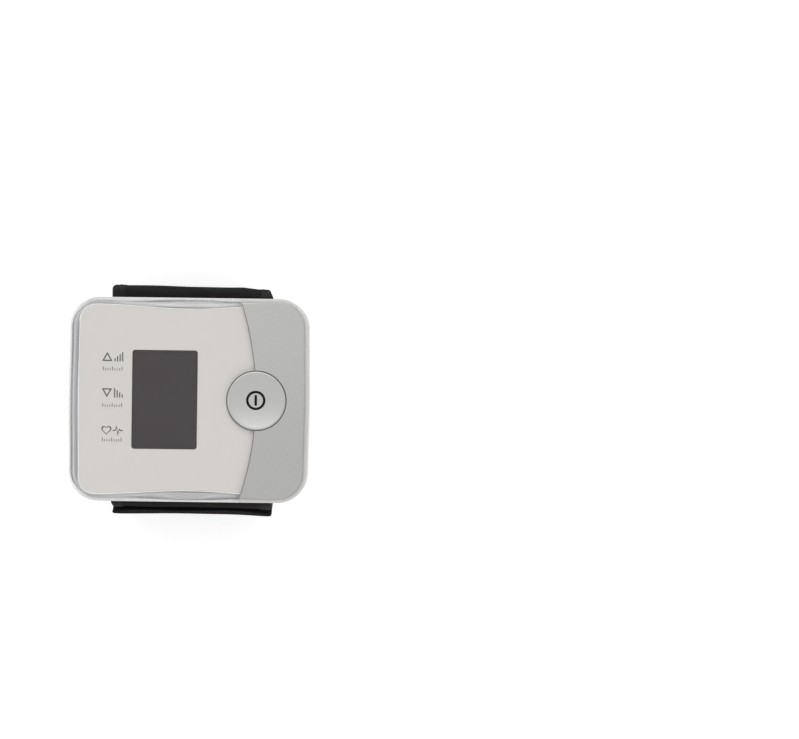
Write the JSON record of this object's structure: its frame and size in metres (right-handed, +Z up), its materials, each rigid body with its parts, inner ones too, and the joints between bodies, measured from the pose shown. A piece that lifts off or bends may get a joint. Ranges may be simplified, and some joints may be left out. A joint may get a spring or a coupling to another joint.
{
  "type": "wrist blood pressure monitor",
  "caption": "Wrist blood pressure monitor with a clear-covered display face, round power button, side battery door and a black wrap cuff closed into an oval loop.",
  "frame": {"origin": "on the table, under the middle of the housing, where the closed cuff stands", "axes": "+Z up out of the display face, +X along the forearm towards the power button's end, +Y towards the top of the display"},
  "size_m": [0.082, 0.0802, 0.091],
  "materials": {
    "housing_white": "fine satin, pale grey white",
    "housing_silver": "satin silver paint",
    "clear_acrylic": "clear, polished",
    "panel_print": "printed sheet, smooth",
    "button_silver": "satin silver paint",
    "display_dark": "dark grey, glossy, unlit",
    "black_plastic": "moulded",
    "white_plastic": "moulded",
    "contact_rubber": "matte",
    "board_green": "lacquered",
    "foam_black": "foam",
    "silicone": "translucent, matte",
    "steel": "plated",
    "cell_can": "plain printed sleeve",
    "cuff_fabric": "black loop cloth, matte",
    "lining_fabric": "smooth black cloth",
    "hook_tape": "hook tape",
    "curler_plastic": "flexible sheet",
    "bladder_film": "welded film"
  },
  "bodies": {
    "monitor": {"rear_housing": "housing_white", "front_housing": "housing_silver", "clear_cover": "clear_acrylic", "face_panel": "panel_print", "button_switch": "black_plastic", "display_glass": "display_dark", "display_frame": "white_plastic", "contact_strip_upper": "contact_rubber", "contact_strip_lower": "contact_rubber", "main_board": "board_green", "processor_chip": "black_plastic", "buzzer": "black_plastic", "pressure_sensor": "white_plastic", "pump_motor": "steel", "pump_head": "black_plastic", "pump_sleeve": "foam_black", "release_valve": "steel", "air_manifold": "white_plastic", "cuff_port": "white_plastic", "tube_pump": "silicone", "tube_valve": "silicone", "tube_sensor": "silicone", "tube_cuff": "silicone", "case_screw_1": "steel", "case_screw_2": "steel", "case_screw_3": "steel", "case_screw_4": "steel", "board_screw_1": "steel", "board_screw_2": "steel", "cuff_retainer": "steel", "retainer_screw_1": "steel", "retainer_screw_2": "steel", "battery_lower": "cell_can", "battery_upper": "cell_can", "contact_bridge": "steel", "contact_positive": "steel", "contact_negative": "steel", "contact_spring_lower": "steel", "contact_spring_upper": "steel", "cuff_cover": "cuff_fabric", "cuff_curler": "curler_plastic", "cuff_bladder": "bladder_film", "cuff_lining": "lining_fabric"},
    "button": {"power_button": "button_silver", "switch_plunger": "white_plastic"},
    "door": {"battery_door": "housing_white"},
    "arm": {"arm_cover": "cuff_fabric", "arm_curler": "curler_plastic", "arm_bladder": "bladder_film", "arm_lining": "lining_fabric", "strap_base": "cuff_fabric"},
    "strap": {"strap_tail": "cuff_fabric", "hook_patch": "hook_tape"}
  },
  "joints": [
    {"name": "button_press", "type": "slide", "parent": "monitor", "child": "button", "axis": [0, 0, -1], "range_m": [0, 0.0006], "stiffness_N_per_m": 2500},
    {"name": "door_slide", "type": "slide", "parent": "monitor", "child": "door", "axis": [0, -1, 0], "range_m": [0, 0.02]},
    {"name": "cuff_opening", "type": "hinge", "parent": "arm", "child": "monitor", "pos_m": [0, 0.0401, 0.03075], "axis": [-1, 0, 0], "range_deg": [0, 35], "stiffness_Nm_per_rad": 0.02, "springref_deg": -17.19},
    {"name": "strap_peel", "type": "hinge", "parent": "arm", "child": "strap", "pos_m": [0, -0.02578, 0.00249], "axis": [1, 0, 0], "range_deg": [0, 55]}
  ]
}
